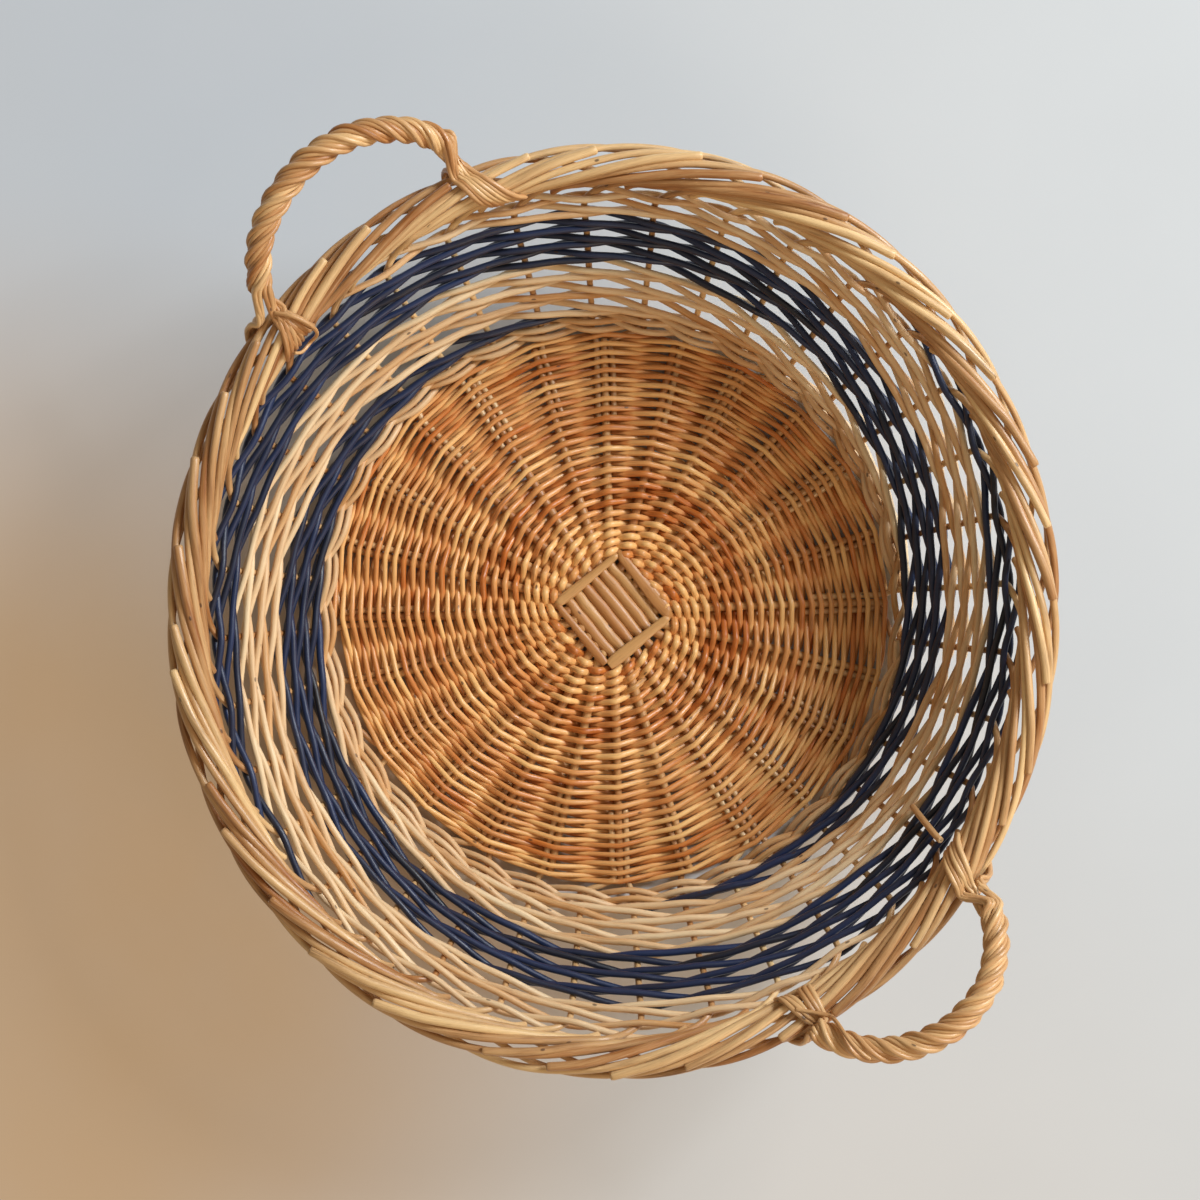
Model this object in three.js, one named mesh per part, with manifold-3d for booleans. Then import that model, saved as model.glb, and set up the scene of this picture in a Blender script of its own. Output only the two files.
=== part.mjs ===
// A round wicker tray of split and whole willow rods, in millimetres, +Z up.
// It stands on its base at z = 0, and its axis is the Z axis. +X and +Y are the tray's own
// right and far side. Angles grow anticlockwise seen from above.

import * as THREE from 'three';
import { mergeVertices } from 'three/addons/utils/BufferGeometryUtils.js';
import Module from 'manifold-3d';

// The clearance that separate rods keep where they touch.
const fitGap = 0.3;

// The least detail that a joined or cut solid keeps.
const leastDetail = 0.02;

// Base: two crossed sets of sticks, one set pierced for the other, and the weave round them.
const sticksPerSet = 6;
const stickDiameter = 4.4;
const stickPitch = 5.4;
const stickToFoot = 5.5;
const slathTurn = -50.8;
const slitHeight = 2.0;
const slitEndLength = 1.8;
const flatThickness = 1.4;
const tieThickness = 1.7;
const baseThickness = 9.6;
const weaveToTie = 2;
const weaveToFoot = 3;
const weaveDip = 2.6;
const weaveBevel = 1.5;
const openingRows = 4;
const openingWidth = 1.6;
const openingMargin = 1.2;

// Side stakes: one or two go in beside each base stick, turn up and make the wall.
const stakeCount = 36;
const firstStakeAngle = 4;
const stakeThick = 2.9;
const legLength = 34;
const fanToFoot = 7.5;
const footRadius = 133.5;
const footHeight = 7;
const wallLean = 58;

// Wall weave: one weaver starts at each stake and climbs one row per stake.
const weaverThick = 2.8;
const weaverTall = 2.5;
const rowGap = 0.3;
const rowsOfClimb = 25;
const firstRowUp = 7.4;
const stakeAboveWeave = 7.2;
const crossingRoom = 1.14;
const colourBands = 4;

// Three rods of waling hold the stakes where they turn up.
const waleThick = 2.1;
const waleOutside = 5;
const waleHigh = 1.4;
const waleLow = -2.3;

// Border: every stake runs over the rim in a mound, with a cut rod beside it.
const borderThick = 3.6;
const moundHalfWidth = 10.7;
const moundRise = 9.6;
const moundLift = 4.8;
const moundBack = 0.6;
const borderLean = 2.4;
const tuckInside = 6.2;
const stakeSectors = 4;

// The rim is a little wider along Y than along X.
const rimOval = 0.024;
const ovalFullHeight = 80;

// Handles: four strands twisted into a rope, split over the border at both ends.
const ropeThick = 11.6;
const strandThick = 3.5;
const handleTurns = 3.25;
const handleRise = 22;
const handles = [
  { name: 'upper_left', middle: 122, halfAngle: 17, reach: 42.5 },
  { name: 'lower_right', middle: 308.3, halfAngle: 15.4, reach: 42 },
];

// Colours of peeled willow and of the dyed rods.
const palette = {
  natural: { color: 0xd9a566, roughness: 0.55 },
  sticks: { color: 0xcf9a5c, roughness: 0.55 },
  border: { color: 0xd2a065, roughness: 0.5 },
  rope: { color: 0xd6ab72, roughness: 0.5 },
  navy: { color: 0x25305c, roughness: 0.5 },
};

const wasm = await Module();
wasm.setup();

const turn = (degrees) => THREE.MathUtils.degToRad(degrees);
const rowPitch = weaverTall + rowGap;
const stakeStep = 360 / stakeCount;
const middleHeight = baseThickness / 2;
const wallSide = new THREE.Vector2(Math.cos(turn(wallLean)), Math.sin(turn(wallLean)));
const weaverOffset = (stakeThick / 2 + fitGap + weaverThick / 2) * crossingRoom;
const wallLength = firstRowUp + rowsOfClimb * rowPitch + stakeAboveWeave;
const rimRadius = footRadius + wallLength * wallSide.x;
const rimHeight = footHeight + wallLength * wallSide.y;
const moundMiddle = rimRadius - moundBack + moundHalfWidth;
const stickReach = footRadius - stickToFoot;
const weaveOuterRadius = footRadius - weaveToFoot;
const stakeFanRadius = footRadius - fanToFoot;
const stakeInnerRadius = stakeFanRadius - legLength;

const tray = new THREE.Group();

// A point given by its angle in degrees, radius and height, with the rim's oval worked in.
function place(angle, radius, height) {
  const share = THREE.MathUtils.clamp(height / ovalFullHeight, 0, 1);
  const stretched = radius * (1 - rimOval * share * Math.cos(2 * turn(angle)));
  return new THREE.Vector3(stretched * Math.cos(turn(angle)), stretched * Math.sin(turn(angle)), height);
}

// The direction that points outwards by `out` and up by `up` at an angle.
function direction(angle, out, up) {
  return new THREE.Vector3(out * Math.cos(turn(angle)), out * Math.sin(turn(angle)), up).normalize();
}

// A point of the wall: `along` the slope from the foot, and `inside` square to the slope.
function wallPoint(angle, along, inside) {
  const radius = footRadius + along * wallSide.x - inside * wallSide.y;
  const height = footHeight + along * wallSide.y + inside * wallSide.x;
  return place(angle, radius, height);
}

const wallNormal = (angle) => direction(angle, -wallSide.y, wallSide.x);
const stakeAngle = (index) => firstStakeAngle + index * stakeStep;

// A body swept through stations { at, over, wide, thick }, where `over` is the way its
// thickness faces. The outline is a list of points round a section one unit wide and thick.
function sweep(stations, outline) {
  const positions = [];
  const faces = [];
  const sides = outline.length;
  stations.forEach((station, index) => {
    const before = stations[Math.max(index - 1, 0)].at;
    const after = stations[Math.min(index + 1, stations.length - 1)].at;
    const along = after.clone().sub(before).normalize();
    const over = station.over.clone().addScaledVector(along, -along.dot(station.over)).normalize();
    const across = over.clone().cross(along);
    for (const [x, y] of outline) {
      const point = station.at.clone();
      point.addScaledVector(across, x * station.wide).addScaledVector(over, y * station.thick);
      positions.push(point.x, point.y, point.z);
    }
  });
  for (let ring = 0; ring + 1 < stations.length; ring += 1) {
    for (let k = 0; k < sides; k += 1) {
      const a = ring * sides + k;
      const b = ring * sides + ((k + 1) % sides);
      faces.push(a, b, b + sides, a, b + sides, a + sides);
    }
  }
  const last = (stations.length - 1) * sides;
  for (const [a, b, c] of THREE.ShapeUtils.triangulateShape(outline.map(([x, y]) => new THREE.Vector2(x, y)), [])) {
    faces.push(a, c, b);
    faces.push(last + a, last + b, last + c);
  }
  const geometry = new THREE.BufferGeometry();
  geometry.setAttribute('position', new THREE.Float32BufferAttribute(positions, 3));
  geometry.setIndex(faces);
  return geometry;
}

// A border rod is narrower underneath, where the rods crowd together on the mound.
const crowdedOutline = [[-0.5, 0.5], [-0.34, -0.5], [0.34, -0.5], [0.5, 0.5]];

// A rod has a regular section with the given number of sides, measured across the flats.
function rod(stations, sides = 4) {
  const corner = 0.5 / Math.cos(Math.PI / sides);
  const outline = [];
  for (let k = 0; k < sides; k += 1) {
    const round = Math.PI / 2 + ((k + 0.5) * 2 * Math.PI) / sides;
    outline.push([corner * Math.cos(round), corner * Math.sin(round)]);
  }
  return sweep(stations, outline);
}

function addPiece(name, geometry, finish) {
  geometry.computeVertexNormals();
  const material = new THREE.MeshStandardMaterial({ ...palette[finish], metalness: 0 });
  const piece = new THREE.Mesh(geometry, material);
  piece.name = name;
  tray.add(piece);
}

// Solids for cutting and joining, from closed geometries and back.
function solid(geometry) {
  const bare = geometry.clone();
  bare.deleteAttribute('normal');
  bare.deleteAttribute('uv');
  const merged = mergeVertices(bare, 1e-4);
  return new wasm.Manifold(new wasm.Mesh({
    numProp: 3,
    vertProperties: Float32Array.from(merged.getAttribute('position').array),
    triVerts: Uint32Array.from(merged.getIndex().array),
  }));
}

// Edges that joining or cutting left too short to matter are merged away.
function fromSolid(body) {
  const mesh = body.asOriginal().simplify(leastDetail).getMesh();
  const geometry = new THREE.BufferGeometry();
  geometry.setAttribute('position', new THREE.BufferAttribute(Float32Array.from(mesh.vertProperties), 3));
  geometry.setIndex(new THREE.BufferAttribute(Uint32Array.from(mesh.triVerts), 1));
  return geometry;
}

// Base sticks. Set 0 is pierced and lies along the slath's turn, set 1 goes through it.
const upwards = new THREE.Vector3(0, 0, 1);
const spokeStep = 360 / (4 * sticksPerSet);
const stickCorner = stickDiameter / 2 / Math.cos(Math.PI / 6);
const outerLane = ((sticksPerSet - 1) / 2) * stickPitch;
const slitReach = outerLane + stickCorner + fitGap;
const kneeReach = slitReach + slitEndLength;
const tieSide = kneeReach + tieThickness / 2 + fitGap;
const firstTieCorner = tieSide * 1.45;
const secondTieCorner = firstTieCorner + tieThickness + 5 * fitGap;
const weaveInnerRadius = secondTieCorner + tieThickness / 2 + weaveToTie;

// The place of a stick in its set, counted from the middle of the set.
const lane = (index) => index - (sticksPerSet - 1) / 2;

function baseDirection(set, side, index) {
  const fan = side > 0 ? lane(index) * spokeStep : 180 - lane(index) * spokeStep;
  return slathTurn + 90 * set + fan;
}

// Where a stick leaves the slath and starts to fan out.
function knee(set, side, index) {
  const heading = slathTurn + 90 * set;
  const forward = direction(heading, side * 1, 0).multiplyScalar(kneeReach);
  const sideways = direction(heading + 90, 1, 0).multiplyScalar(lane(index) * stickPitch);
  return forward.add(sideways).setZ(middleHeight);
}

function stickEnd(set, side, index, reach) {
  return place(baseDirection(set, side, index), reach, 0).setZ(middleHeight);
}

function stickStations(set, index, flat, room) {
  const full = stickDiameter + 2 * room;
  const stations = [];
  for (const side of [-1, 1]) {
    const inner = knee(set, side, index);
    const outer = stickEnd(set, side, index, stickReach);
    const round = inner.clone().lerp(outer, 0.08);
    const pair = [
      { at: outer, over: upwards, wide: full * 0.8, thick: full * 0.8 },
      { at: round, over: upwards, wide: full, thick: full },
      { at: inner, over: upwards, wide: full, thick: flat },
    ];
    stations.push(...(side < 0 ? pair : pair.reverse()));
  }
  return stations;
}

function piercedStick(index) {
  const whole = rod(stickStations(0, index, stickDiameter, 0), 6);
  const slit = new THREE.BoxGeometry(2 * slitReach, stickPitch, slitHeight);
  slit.rotateZ(turn(slathTurn));
  const middle = direction(slathTurn + 90, 1, 0).multiplyScalar(lane(index) * stickPitch);
  slit.translate(middle.x, middle.y, middleHeight);
  return fromSolid(solid(whole).subtract(solid(slit)));
}

for (let index = 0; index < sticksPerSet; index += 1) {
  addPiece(`pierced_stick_${index + 1}`, piercedStick(index), 'sticks');
}
for (let index = 0; index < sticksPerSet; index += 1) {
  addPiece(`through_stick_${index + 1}`, rod(stickStations(1, index, flatThickness, 0), 6), 'sticks');
}

// Two tie rods go round the slath in turn over and under the four bundles of sticks. They
// change places at the corners, the second one further out.
function slathTie(first) {
  const lift = stickCorner + fitGap + tieThickness / 2;
  const clear = outerLane + stickCorner + fitGap + tieThickness / 2;
  const corner = first ? firstTieCorner : secondTieCorner;
  const stations = [];
  const pass = (heading, forward, sideways, height) => {
    const at = direction(heading, 1, 0).multiplyScalar(forward);
    at.addScaledVector(direction(heading + 90, 1, 0), sideways).setZ(middleHeight + height);
    stations.push({ at, over: upwards, wide: tieThickness, thick: tieThickness });
  };
  for (let quarter = 0; quarter < 4; quarter += 1) {
    const height = (quarter % 2 === 0) === first ? lift : -lift;
    const heading = slathTurn + 90 * quarter;
    if (!first && quarter > 0) {
      pass(heading, 0.76 * corner, -0.64 * corner, height);
    }
    pass(heading, tieSide, -clear, height);
    pass(heading, tieSide, clear, height);
    if (!first && quarter < 3) {
      pass(heading, 0.76 * corner, 0.64 * corner, height);
    }
    if (quarter < 3) {
      pass(heading, corner * Math.SQRT1_2, corner * Math.SQRT1_2, 0);
    }
  }
  return rod(stations);
}

addPiece('slath_tie_1', slathTie(true), 'natural');
addPiece('slath_tie_2', slathTie(false), 'natural');

// Side stakes. The sticks take two stakes and one stake in turn.
const firstDouble = slathTurn + 3.5 * spokeStep;

function besideStick(index) {
  const member = index % 3;
  const double = firstDouble + 2 * spokeStep * Math.floor(index / 3);
  return { spoke: double + spokeStep * member, side: member === 0 ? 1 : -1 };
}

// A leg lies beside a stick, to one side of its line.
const legAside = (stickDiameter / 2 + stakeThick / 2) * 1.16 + fitGap;

function besidePoint(spoke, side, radius) {
  const swing = THREE.MathUtils.radToDeg(Math.asin((side * legAside) / radius));
  return place(spoke + swing, radius, 0).setZ(middleHeight);
}

function legStations(index, room) {
  const { spoke, side } = besideStick(index);
  const size = stakeThick + 2 * room;
  return [
    { at: besidePoint(spoke, side, stakeInnerRadius - room), over: upwards, wide: size, thick: size },
    { at: besidePoint(spoke, side, stakeFanRadius), over: upwards, wide: size, thick: size },
    {
      at: place(stakeAngle(index), footRadius, 0).setZ(middleHeight + 0.5),
      over: direction(stakeAngle(index), -0.5, 1),
      wide: size,
      thick: size,
    },
  ];
}

// The border's path, measured from the top of a stake. `travel` is how many degrees the rod
// has run clockwise: up the inside, over the mound, down the outside and back inside.
// `lean` moves it along the mound, in degrees of travel, towards the rod in front.
const moundStart = 4;
const moundEnd = 40;
const mound = [4, 10, 16, 22, 28, 34, 40];
const wayBack = [
  { travel: 46, out: 1.56 * moundHalfWidth, up: 0.2 },
  { travel: 60, out: -tuckInside, up: -0.3 },
  { travel: 63, out: -tuckInside - 1.7, up: 0 },
];

function borderStation(angle, travel, lean = 0) {
  let { out, up } = wayBack.find((step) => step.travel === travel) ?? {};
  let facing = [0, 1];
  if (travel <= moundEnd) {
    const round = (Math.PI * Math.max(travel + lean - moundStart, 0)) / (moundEnd - moundStart);
    out = moundHalfWidth * (1 - Math.cos(round)) - moundBack;
    up = moundLift + moundRise * Math.sin(round);
    facing = [-Math.cos(round), Math.sin(round)];
  }
  return {
    at: place(angle - travel, rimRadius + out, rimHeight + up),
    over: direction(angle - travel, ...facing),
    wide: borderThick,
    thick: borderThick,
  };
}

function sideStake(index) {
  const angle = stakeAngle(index);
  const shaft = { over: wallNormal(angle), wide: stakeThick, thick: stakeThick };
  return sweep([
    ...legStations(index, 0),
    { ...shaft, at: wallPoint(angle, firstRowUp, 0) },
    { ...shaft, at: wallPoint(angle, wallLength - stakeAboveWeave / 2, 0) },
    ...mound.map((travel) => borderStation(angle, travel)),
    ...wayBack.map(({ travel }) => borderStation(angle, travel)),
  ], crowdedOutline);
}

// A cut rod fills the space beside each stake's border stroke. Its butt is pushed against
// its own stake, and its cut end rests on the next one.
function borderRod(index, restsOnNext) {
  const angle = stakeAngle(index) - stakeStep / 2;
  const rest = restsOnNext ? -borderLean : 0;
  return sweep([
    borderStation(angle, 3.5, borderLean),
    borderStation(angle, 10),
    borderStation(angle, 16),
    borderStation(angle, 22),
    borderStation(angle, 28, rest),
  ], crowdedOutline);
}

// Side stakes that stand beside each other are one piece, joined where they press on
// each other in the border.
function stakeSector(sector) {
  const perSector = stakeCount / stakeSectors;
  let body = null;
  for (let member = perSector - 1; member >= 0; member -= 1) {
    const index = sector * perSector + member;
    const stake = solid(sideStake(index)).add(solid(borderRod(index, member > 0)));
    body = body ? body.add(stake) : stake;
  }
  return fromSolid(body);
}

// Wall weavers: inside two stakes, outside one, one row higher at each stake.
function weaver(start) {
  const stations = [];
  for (let row = 0; row <= rowsOfClimb; row += 1) {
    const angle = stakeAngle(start + row);
    const inside = row % 3 === 0 ? -weaverOffset : weaverOffset;
    stations.push({
      at: wallPoint(angle, firstRowUp + row * rowPitch, inside),
      over: wallNormal(angle),
      wide: weaverTall,
      thick: weaverThick,
    });
  }
  return rod(stations);
}

// Waling: each of three rods lies outside two stakes, high and then low, and inside one.
function waleRod(first) {
  const stops = [
    { radius: footRadius + waleOutside + 2.4, height: footHeight + waleHigh },
    { radius: footRadius + waleOutside, height: middleHeight + waleLow },
    { radius: footRadius - 1.9, height: middleHeight + stakeThick / 2 + waleThick + fitGap + 1.4 },
  ];
  const stations = [];
  for (let step = 0; step < stakeCount; step += 1) {
    const stop = stops[(step + first) % 3];
    stations.push({
      at: place(stakeAngle(step), stop.radius, stop.height),
      over: upwards,
      wide: waleThick,
      thick: waleThick,
    });
  }
  return rod(stations);
}

// The base weave is one ring, thick over every stick and thinner between the sticks, where its
// strands change places. The sticks stand in this order round it.
const spokeCount = 4 * sticksPerSet;

function spokeLine(spoke) {
  const quarter = Math.floor(spoke / sticksPerSet);
  const member = spoke % sticksPerSet;
  const side = quarter < 2 ? 1 : -1;
  const index = side > 0 ? member : sticksPerSet - 1 - member;
  const inner = knee(quarter % 2, side, index);
  return { inner, outer: stickEnd(quarter % 2, side, index, stickReach) };
}

// The angle at which a stick's line crosses a circle round the tray's middle.
function spokeAngle(spoke, radius) {
  const { inner, outer } = spokeLine(spoke % spokeCount);
  const run = outer.sub(inner);
  const point = inner.setZ(0);
  const a = run.lengthSq();
  const b = run.dot(point);
  const c = point.lengthSq() - radius * radius;
  point.addScaledVector(run, (Math.sqrt(b * b - a * c) - b) / a);
  return THREE.MathUtils.radToDeg(Math.atan2(point.y, point.x));
}

// The space between two sticks at a radius: where it starts and how wide it is, in degrees.
function spokeGap(spoke, radius) {
  const start = spokeAngle(spoke, radius);
  return { start, width: THREE.MathUtils.euclideanModulo(spokeAngle(spoke + 1, radius) - start, 360) };
}

// One ring of the weave's surface, as angles with half the thickness there.
function weaveRing(radius, lower) {
  const share = THREE.MathUtils.mapLinear(radius, weaveInnerRadius, weaveOuterRadius, 0.8, 0.4);
  const half = baseThickness / 2 - lower;
  const ring = [];
  for (let spoke = 0; spoke < spokeCount; spoke += 1) {
    const { start, width } = spokeGap(spoke, radius);
    const free = (1 - share) * turn(width / 2) * radius;
    const dip = Math.min(weaveDip, 0.35 * free);
    ring.push({ radius, angle: start + (share * width) / 2, half });
    ring.push({ radius, angle: start + width / 2, half: half - dip });
    ring.push({ radius, angle: start + width - (share * width) / 2, half });
  }
  return ring;
}

function weaveBody() {
  const outer = weaveOuterRadius - weaveBevel;
  const rings = [
    weaveRing(weaveInnerRadius, 0),
    weaveRing((weaveInnerRadius + outer) / 2, 0),
    weaveRing(outer, 0),
    weaveRing(weaveOuterRadius, weaveBevel),
  ];
  const positions = [];
  const faces = [];
  for (const side of [1, -1]) {
    for (const { radius, angle, half } of rings.flat()) {
      const height = middleHeight + side * half;
      positions.push(radius * Math.cos(turn(angle)), radius * Math.sin(turn(angle)), height);
    }
  }
  const around = rings[0].length;
  const under = rings.length * around;
  const quad = (a, b, c, d) => faces.push(a, b, c, a, c, d);
  for (let k = 0; k < around; k += 1) {
    const next = (k + 1) % around;
    for (let ring = 0; ring + 1 < rings.length; ring += 1) {
      const here = ring * around;
      const out = here + around;
      quad(here + k, out + k, out + next, here + next);
      quad(under + here + k, under + here + next, under + out + next, under + out + k);
    }
    const last = (rings.length - 1) * around;
    quad(k, next, under + next, under + k);
    quad(last + k, under + last + k, under + last + next, last + next);
  }
  const geometry = new THREE.BufferGeometry();
  geometry.setAttribute('position', new THREE.Float32BufferAttribute(positions, 3));
  geometry.setIndex(faces);
  return solid(geometry);
}

// Between two sticks, and clear of the legs, the rows of the weave stand open in a slot.
function weaveOpening(spoke, row) {
  const radius = weaveInnerRadius + ((row + 0.5) * (weaveOuterRadius - weaveInnerRadius)) / openingRows;
  const pastLegs = radius > stakeInnerRadius - 2 * openingWidth;
  const aside = pastLegs ? legAside + stakeThick / 2 : stickCorner;
  const { start, width } = spokeGap(spoke, radius);
  const halfLength = turn(width / 2) * radius - aside - fitGap - openingMargin;
  if (halfLength < 2 * openingWidth) {
    return null;
  }
  const slot = new THREE.BoxGeometry(openingWidth, 2 * halfLength, 2 * baseThickness);
  const angle = turn(start + width / 2);
  slot.rotateZ(angle);
  slot.translate(radius * Math.cos(angle), radius * Math.sin(angle), middleHeight);
  return solid(slot);
}

function baseWeave() {
  let body = weaveBody();
  const channelSize = 2 * (stickCorner + fitGap);
  const channel = { over: upwards, wide: channelSize, thick: channelSize };
  for (let spoke = 0; spoke < spokeCount; spoke += 1) {
    const { inner, outer } = spokeLine(spoke);
    const beyond = outer.clone().lerp(inner, -0.1);
    body = body.subtract(solid(rod([{ ...channel, at: inner }, { ...channel, at: beyond }])));
    for (let row = 0; row < openingRows; row += 1) {
      const opening = weaveOpening(spoke, row);
      body = opening ? body.subtract(opening) : body;
    }
  }
  for (let index = 0; index < stakeCount; index += 1) {
    body = body.subtract(solid(rod(legStations(index, fitGap))));
  }
  return fromSolid(body);
}

// Handle: a rope of four strands on a bow that leans out from the border. At each foot its
// strands part and grip the border, two down the inside and two down the outside.
const ropeOutline = [];
for (let lobe = 0; lobe < 4; lobe += 1) {
  const middle = (lobe * Math.PI) / 2;
  for (const [swing, reach] of [[-0.42, 1], [0.42, 1], [Math.PI / 4, 0.74]]) {
    ropeOutline.push([0.5 * reach * Math.cos(middle + swing), 0.5 * reach * Math.sin(middle + swing)]);
  }
}

// The strand's path round the mound: `round` is 0 at its inner side and 180 at its outer side.
function gripStation(angle, round) {
  const clear = borderThick / 2 + 2 * fitGap + strandThick / 2;
  const out = -Math.cos(turn(round));
  const up = Math.sin(turn(round));
  const radius = moundMiddle + out * (moundHalfWidth + clear);
  const height = rimHeight + moundLift + up * (moundRise + clear);
  return {
    at: place(angle, radius, height),
    over: direction(angle, out, up),
    wide: 2 * strandThick,
    thick: strandThick,
  };
}

function handleBody(handle) {
  const seat = gripStation(0, 90).at.z + 0.38 * ropeThick;
  const feet = [-1, 1].map((side) => place(handle.middle + side * handle.halfAngle, moundMiddle, seat));
  const middle = feet[0].clone().lerp(feet[1], 0.5);
  const halfChord = feet[1].clone().sub(middle);
  const lean = direction(handle.middle, handle.reach, 0).multiplyScalar(handle.reach).setZ(handleRise);
  const bow = (share) => {
    const swing = Math.PI * share;
    return middle.clone().addScaledVector(halfChord, -Math.cos(swing)).addScaledVector(lean, Math.sin(swing));
  };
  const square = halfChord.clone().cross(lean).normalize();

  const stations = [];
  const steps = Math.round(handleTurns * 8);
  for (let step = 0; step <= steps; step += 1) {
    const share = step / steps;
    const along = bow(share + 0.01).sub(bow(share - 0.01)).normalize();
    const over = square.clone().applyAxisAngle(along, 2 * Math.PI * handleTurns * share);
    stations.push({ at: bow(share), over, wide: ropeThick, thick: ropeThick });
  }
  let body = solid(sweep(stations, ropeOutline));

  for (const side of [-1, 1]) {
    const angle = handle.middle + side * handle.halfAngle;
    const grip = [];
    for (let round = 5; round <= 175; round += 17) {
      grip.push(gripStation(angle, round));
    }
    body = body.add(solid(rod(grip)));
  }
  return fromSolid(body);
}

for (let sector = 0; sector < stakeSectors; sector += 1) {
  addPiece(`side_stakes_${sector + 1}`, stakeSector(sector), 'border');
}
const rodsPerBand = stakeCount / colourBands;
for (let start = 0; start < stakeCount; start += 1) {
  const colour = Math.floor(start / rodsPerBand) % 2 === 0 ? 'natural' : 'navy';
  addPiece(`${colour}_weaver_${start + 1}`, weaver(start), colour);
}
for (const first of [0, 1, 2]) {
  addPiece(`wale_rod_${first + 1}`, waleRod(first), 'natural');
}
addPiece('base_weave', baseWeave(), 'natural');
for (const handle of handles) {
  addPiece(`handle_${handle.name}`, handleBody(handle), 'rope');
}

export default tray;
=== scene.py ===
"""A round wicker tray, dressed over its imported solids.

Every rod is worked out with numpy as a path with a section carried along it. Lengths are in
millimetres and angles in degrees, anticlockwise seen from above, and the meshes are in metres.
A row of stations is an array of rods by stations by eight columns: the point (3), the way the
rod's thickness faces (3), its width and its thickness.
"""

import bpy
import numpy as np
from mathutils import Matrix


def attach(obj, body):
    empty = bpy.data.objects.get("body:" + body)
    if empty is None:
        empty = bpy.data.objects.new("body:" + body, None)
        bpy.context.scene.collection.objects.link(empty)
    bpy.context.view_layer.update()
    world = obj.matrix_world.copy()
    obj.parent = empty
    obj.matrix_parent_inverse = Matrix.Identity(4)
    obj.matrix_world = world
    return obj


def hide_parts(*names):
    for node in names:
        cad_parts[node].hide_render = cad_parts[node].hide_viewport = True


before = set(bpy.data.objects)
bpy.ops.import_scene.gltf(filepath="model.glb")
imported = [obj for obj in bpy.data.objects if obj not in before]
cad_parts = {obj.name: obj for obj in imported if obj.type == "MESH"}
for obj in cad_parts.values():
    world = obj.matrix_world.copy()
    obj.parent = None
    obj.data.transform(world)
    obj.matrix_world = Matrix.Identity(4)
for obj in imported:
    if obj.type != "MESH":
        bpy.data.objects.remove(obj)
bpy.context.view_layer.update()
chance = np.random.default_rng(21)

METRE = 0.001
UP = np.array([0.0, 0.0, 1.0])

# Base: two crossed sets of sticks, whose ends fan out as spokes. A stick is straight as far as
# its knee. The slath is the square where the sets cross.
STICKS_PER_SET = 6
STICK = 4.4
STICK_PITCH = 5.4
STICK_REACH = 128
SLATH_TURN = -50.8
KNEE_REACH = 18.1
SPOKES = 24
SPOKE_STEP = 360 / SPOKES
FIRST_SPOKE = 1.7
MIDDLE_HEIGHT = 4.8

# Wall: it leans out from the foot. Its weavers climb one row at each stake, and on one side
# the rows swell up.
STAKES = 36
STAKE_STEP = 360 / STAKES
FIRST_STAKE = 4
STAKE = 3.0
FOOT_RADIUS = 133.5
FOOT_HEIGHT = 7
WALL_LEAN = np.radians(58)
FIRST_ROW_UP = 8.2
ROW_PITCH = 3.5
ROWS = 22
LAST_ROW_TO_RIM = 6.4
WALL_LENGTH = FIRST_ROW_UP + ROWS * ROW_PITCH + LAST_ROW_TO_RIM
WEAVER_OFFSET = 3.05
SWELL = 5.0
SWELL_ANGLE = 85
SWELL_SPREAD = 45

# Border: each rod goes over a mound, which is half an ellipse across the wall's top, while it
# runs from MOUND_START to MOUND_END degrees round the rim.
RIM_RADIUS = FOOT_RADIUS + WALL_LENGTH * np.cos(WALL_LEAN)
RIM_HEIGHT = FOOT_HEIGHT + WALL_LENGTH * np.sin(WALL_LEAN)
MOUND_HALF = 7.7
MOUND_RISE = 7.6
MOUND_LIFT = 4.0
MOUND_BACK = 0.6
MOUND_MIDDLE = RIM_RADIUS - MOUND_BACK + MOUND_HALF
MOUND_START = 4
MOUND_END = 40
BORDER_ROD = 3.7

# The rim is a little wider along Y than along X, and the base is round.
RIM_OVAL = 0.024
OVAL_HEIGHT = 80

# Handles: a rope of strands, each of three wisps.
ROPE = 12.0
WISP = 2.35
STRANDS = 4
HANDLE_TURNS = 4.25
HANDLE_RISE = 25.2
ROPE_SEAT = 98.0
ROPE_ENDS = (0.1, 0.9)


def place(angle, radius, height):
    """A point at an angle, a radius and a height. The radius shrinks along X and grows along Y
    by the rim's oval, in proportion to the height."""
    angle, radius, height = np.broadcast_arrays(np.radians(angle), radius, height)
    share = np.clip(height / OVAL_HEIGHT, 0, 1)
    reach = radius * (1 - RIM_OVAL * share * np.cos(2 * angle))
    return np.stack([reach * np.cos(angle), reach * np.sin(angle), height], -1)


def direction(angle, out, up):
    """The unit vector that points outwards by `out` and up by `up` at an angle."""
    angle, out, up = np.broadcast_arrays(np.radians(angle), out, up)
    length = np.hypot(out, up)
    return np.stack([out * np.cos(angle), out * np.sin(angle), up], -1) / length[..., None]


def wall_point(angle, along, inside):
    """A point `along` the wall's slope from its foot and `inside` square to the slope."""
    radius = FOOT_RADIUS + along * np.cos(WALL_LEAN) - inside * np.sin(WALL_LEAN)
    height = FOOT_HEIGHT + along * np.sin(WALL_LEAN) + inside * np.cos(WALL_LEAN)
    return place(angle, radius, height)


def wall_normal(angle):
    """The unit vector that points inwards, square to the wall's slope."""
    return direction(angle, -np.sin(WALL_LEAN), np.cos(WALL_LEAN))


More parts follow.
